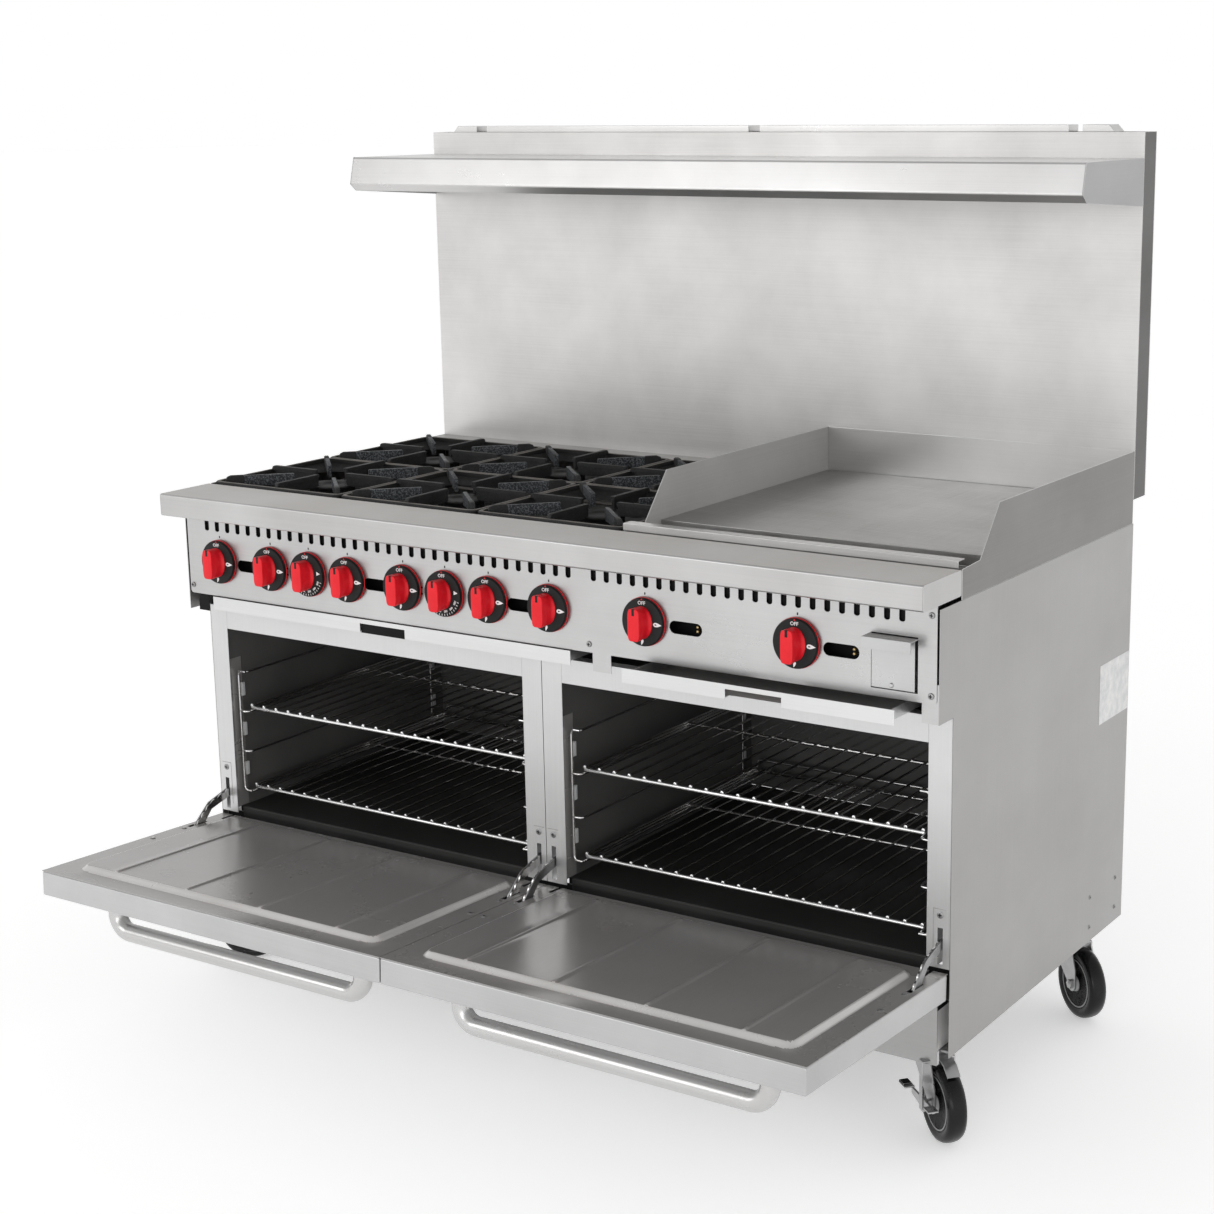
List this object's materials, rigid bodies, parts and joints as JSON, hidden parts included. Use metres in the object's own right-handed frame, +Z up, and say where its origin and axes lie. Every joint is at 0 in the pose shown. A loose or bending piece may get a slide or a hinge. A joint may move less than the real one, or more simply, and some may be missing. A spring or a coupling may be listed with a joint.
{
  "type": "commercial gas range",
  "caption": "Stainless steel restaurant gas range with open burners, a griddle, drop-down oven doors, a backguard with high shelf, and casters.",
  "frame": {"origin": "on the floor, under the middle of the range's box with its doors open", "axes": "+X to the right seen from the front, +Y to the back, +Z up"},
  "size_m": [1.583, 1.1886, 1.5552],
  "materials": {
    "stainless": "brushed, light warm grey",
    "griddle_steel": "ground plate, darker",
    "burner_steel": "heat-darkened sheet",
    "black_enamel": "glossy black enamel",
    "cast_iron": "matt black, rough cast",
    "zinc_plate": "zinc plated",
    "chrome_wire": "bright wire",
    "wheel_rubber": "black tread",
    "red_plastic": "red knob with a black dial"
  },
  "bodies": {
    "range_body": {"side_panels": "stainless", "rear_panel": "stainless", "base_frame": "zinc_plate", "face_frame": "stainless", "kick_plate": "stainless", "oven_liners": "black_enamel", "rack_guides": "chrome_wire", "tube_burners": "burner_steel", "control_panel": "stainless", "front_ledge": "stainless", "burner_box": "burner_steel", "top_burners": "cast_iron", "griddle_plate": "griddle_steel", "griddle_splash": "stainless", "backguard": "stainless", "flue_cap": "stainless", "high_shelf": "stainless", "gas_manifold": "zinc_plate", "body_screws": "zinc_plate"},
    "left_door": {"left_door_shell": "stainless", "left_door_liner": "stainless", "left_door_handle": "stainless", "left_hinge_arms": "zinc_plate"},
    "right_door": {"right_door_shell": "stainless", "right_door_liner": "stainless", "right_door_handle": "stainless", "right_hinge_arms": "zinc_plate"},
    "knob_1": {"knob_1": "red_plastic"},
    "knob_2": {"knob_2": "red_plastic"},
    "knob_3": {"knob_3": "red_plastic"},
    "knob_4": {"knob_4": "red_plastic"},
    "knob_5": {"knob_5": "red_plastic"},
    "knob_6": {"knob_6": "red_plastic"},
    "knob_7": {"knob_7": "red_plastic"},
    "knob_8": {"knob_8": "red_plastic"},
    "knob_9": {"knob_9": "red_plastic"},
    "knob_10": {"knob_10": "red_plastic"},
    "left_upper_rack": {"left_upper_rack": "chrome_wire"},
    "left_lower_rack": {"left_lower_rack": "chrome_wire"},
    "right_upper_rack": {"right_upper_rack": "chrome_wire"},
    "right_lower_rack": {"right_lower_rack": "chrome_wire"},
    "left_crumb_tray": {"left_crumb_tray": "stainless"},
    "right_crumb_tray": {"right_crumb_tray": "stainless"},
    "grease_drawer": {"grease_drawer": "stainless"},
    "grate_1": {"grate_1": "cast_iron"},
    "grate_2": {"grate_2": "cast_iron"},
    "grate_3": {"grate_3": "cast_iron"},
    "grate_4": {"grate_4": "cast_iron"},
    "grate_5": {"grate_5": "cast_iron"},
    "grate_6": {"grate_6": "cast_iron"},
    "front_left_fork": {"front_left_fork": "zinc_plate"},
    "front_left_wheel": {"front_left_wheel": "wheel_rubber"},
    "left_brake_pedal": {"left_brake_pedal": "zinc_plate"},
    "front_right_fork": {"front_right_fork": "zinc_plate"},
    "front_right_wheel": {"front_right_wheel": "wheel_rubber"},
    "right_brake_pedal": {"right_brake_pedal": "zinc_plate"},
    "rear_left_fork": {"rear_left_fork": "zinc_plate"},
    "rear_left_wheel": {"rear_left_wheel": "wheel_rubber"},
    "rear_right_fork": {"rear_right_fork": "zinc_plate"},
    "rear_right_wheel": {"rear_right_wheel": "wheel_rubber"}
  },
  "joints": [
    {"name": "left_door_hinge", "type": "hinge", "parent": "range_body", "child": "left_door", "pos_m": [0, -0.17966, 0.277], "axis": [-1, 0, 0], "range_deg": [0, 87.2]},
    {"name": "right_door_hinge", "type": "hinge", "parent": "range_body", "child": "right_door", "pos_m": [0, -0.17966, 0.277], "axis": [-1, 0, 0], "range_deg": [0, 87.2]},
    {"name": "knob_1_turn", "type": "hinge", "parent": "range_body", "child": "knob_1", "pos_m": [-0.678, -0.20566, 0.798], "axis": [0, -1, 0], "range_deg": [0, 180]},
    {"name": "knob_2_turn", "type": "hinge", "parent": "range_body", "child": "knob_2", "pos_m": [-0.555, -0.20566, 0.798], "axis": [0, -1, 0], "range_deg": [0, 180]},
    {"name": "knob_3_turn", "type": "hinge", "parent": "range_body", "child": "knob_3", "pos_m": [-0.465, -0.20566, 0.798], "axis": [0, -1, 0], "range_deg": [0, 270]},
    {"name": "knob_4_turn", "type": "hinge", "parent": "range_body", "child": "knob_4", "pos_m": [-0.375, -0.20566, 0.798], "axis": [0, -1, 0], "range_deg": [0, 180]},
    {"name": "knob_5_turn", "type": "hinge", "parent": "range_body", "child": "knob_5", "pos_m": [-0.251, -0.20566, 0.798], "axis": [0, -1, 0], "range_deg": [0, 180]},
    {"name": "knob_6_turn", "type": "hinge", "parent": "range_body", "child": "knob_6", "pos_m": [-0.16, -0.20566, 0.798], "axis": [0, -1, 0], "range_deg": [0, 270]},
    {"name": "knob_7_turn", "type": "hinge", "parent": "range_body", "child": "knob_7", "pos_m": [-0.068, -0.20566, 0.798], "axis": [0, -1, 0], "range_deg": [0, 180]},
    {"name": "knob_8_turn", "type": "hinge", "parent": "range_body", "child": "knob_8", "pos_m": [0.056, -0.20566, 0.798], "axis": [0, -1, 0], "range_deg": [0, 180]},
    {"name": "knob_9_turn", "type": "hinge", "parent": "range_body", "child": "knob_9", "pos_m": [0.244, -0.20566, 0.798], "axis": [0, -1, 0], "range_deg": [0, 180]},
    {"name": "knob_10_turn", "type": "hinge", "parent": "range_body", "child": "knob_10", "pos_m": [0.522, -0.20566, 0.798], "axis": [0, -1, 0], "range_deg": [0, 180]},
    {"name": "left_upper_rack_slide", "type": "slide", "parent": "range_body", "child": "left_upper_rack", "axis": [0, 1, 0], "range_m": [-0.38, 0]},
    {"name": "left_lower_rack_slide", "type": "slide", "parent": "range_body", "child": "left_lower_rack", "axis": [0, 1, 0], "range_m": [-0.38, 0]},
    {"name": "right_upper_rack_slide", "type": "slide", "parent": "range_body", "child": "right_upper_rack", "axis": [0, 1, 0], "range_m": [-0.38, 0]},
    {"name": "right_lower_rack_slide", "type": "slide", "parent": "range_body", "child": "right_lower_rack", "axis": [0, 1, 0], "range_m": [-0.38, 0]},
    {"name": "left_crumb_tray_slide", "type": "slide", "parent": "range_body", "child": "left_crumb_tray", "axis": [0, 1, 0], "range_m": [-0.42, 0]},
    {"name": "right_crumb_tray_slide", "type": "slide", "parent": "range_body", "child": "right_crumb_tray", "axis": [0, 1, 0], "range_m": [-0.38, 0.033]},
    {"name": "grease_drawer_slide", "type": "slide", "parent": "range_body", "child": "grease_drawer", "axis": [0, 1, 0], "range_m": [-0.3, 0]},
    {"name": "grate_1_lift", "type": "slide", "parent": "range_body", "child": "grate_1", "axis": [0, 0, 1], "range_m": [0, 0.12]},
    {"name": "grate_2_lift", "type": "slide", "parent": "range_body", "child": "grate_2", "axis": [0, 0, 1], "range_m": [0, 0.12]},
    {"name": "grate_3_lift", "type": "slide", "parent": "range_body", "child": "grate_3", "axis": [0, 0, 1], "range_m": [0, 0.12]},
    {"name": "grate_4_lift", "type": "slide", "parent": "range_body", "child": "grate_4", "axis": [0, 0, 1], "range_m": [0, 0.12]},
    {"name": "grate_5_lift", "type": "slide", "parent": "range_body", "child": "grate_5", "axis": [0, 0, 1], "range_m": [0, 0.12]},
    {"name": "grate_6_lift", "type": "slide", "parent": "range_body", "child": "grate_6", "axis": [0, 0, 1], "range_m": [0, 0.12]},
    {"name": "front_left_swivel", "type": "hinge", "parent": "range_body", "child": "front_left_fork", "pos_m": [-0.702, -0.09266, 0.14], "axis": [0, 0, 1], "continuous": true},
    {"name": "front_left_roll", "type": "hinge", "parent": "front_left_fork", "child": "front_left_wheel", "pos_m": [-0.73571, -0.12094, 0.0635], "axis": [0.6428, -0.766, 0], "continuous": true},
    {"name": "left_brake_rock", "type": "hinge", "parent": "front_left_fork", "child": "left_brake_pedal", "pos_m": [-0.73571, -0.12094, 0.0635], "axis": [0.6428, -0.766, 0], "range_deg": [0, 14]},
    {"name": "front_right_swivel", "type": "hinge", "parent": "range_body", "child": "front_right_fork", "pos_m": [0.702, -0.09266, 0.14], "axis": [0, 0, 1], "continuous": true},
    {"name": "front_right_roll", "type": "hinge", "parent": "front_right_fork", "child": "front_right_wheel", "pos_m": [0.73571, -0.12094, 0.0635], "axis": [0.6428, 0.766, 0], "continuous": true},
    {"name": "right_brake_rock", "type": "hinge", "parent": "front_right_fork", "child": "right_brake_pedal", "pos_m": [0.73571, -0.12094, 0.0635], "axis": [0.6428, 0.766, 0], "range_deg": [0, 14]},
    {"name": "rear_left_swivel", "type": "hinge", "parent": "range_body", "child": "rear_left_fork", "pos_m": [-0.702, 0.45634, 0.14], "axis": [0, 0, 1], "continuous": true},
    {"name": "rear_left_roll", "type": "hinge", "parent": "rear_left_fork", "child": "rear_left_wheel", "pos_m": [-0.73714, 0.42986, 0.0635], "axis": [0.6018, -0.7986, 0], "continuous": true},
    {"name": "rear_right_swivel", "type": "hinge", "parent": "range_body", "child": "rear_right_fork", "pos_m": [0.702, 0.45634, 0.14], "axis": [0, 0, 1], "continuous": true},
    {"name": "rear_right_roll", "type": "hinge", "parent": "rear_right_fork", "child": "rear_right_wheel", "pos_m": [0.73714, 0.42986, 0.0635], "axis": [0.6018, 0.7986, 0], "continuous": true}
  ]
}
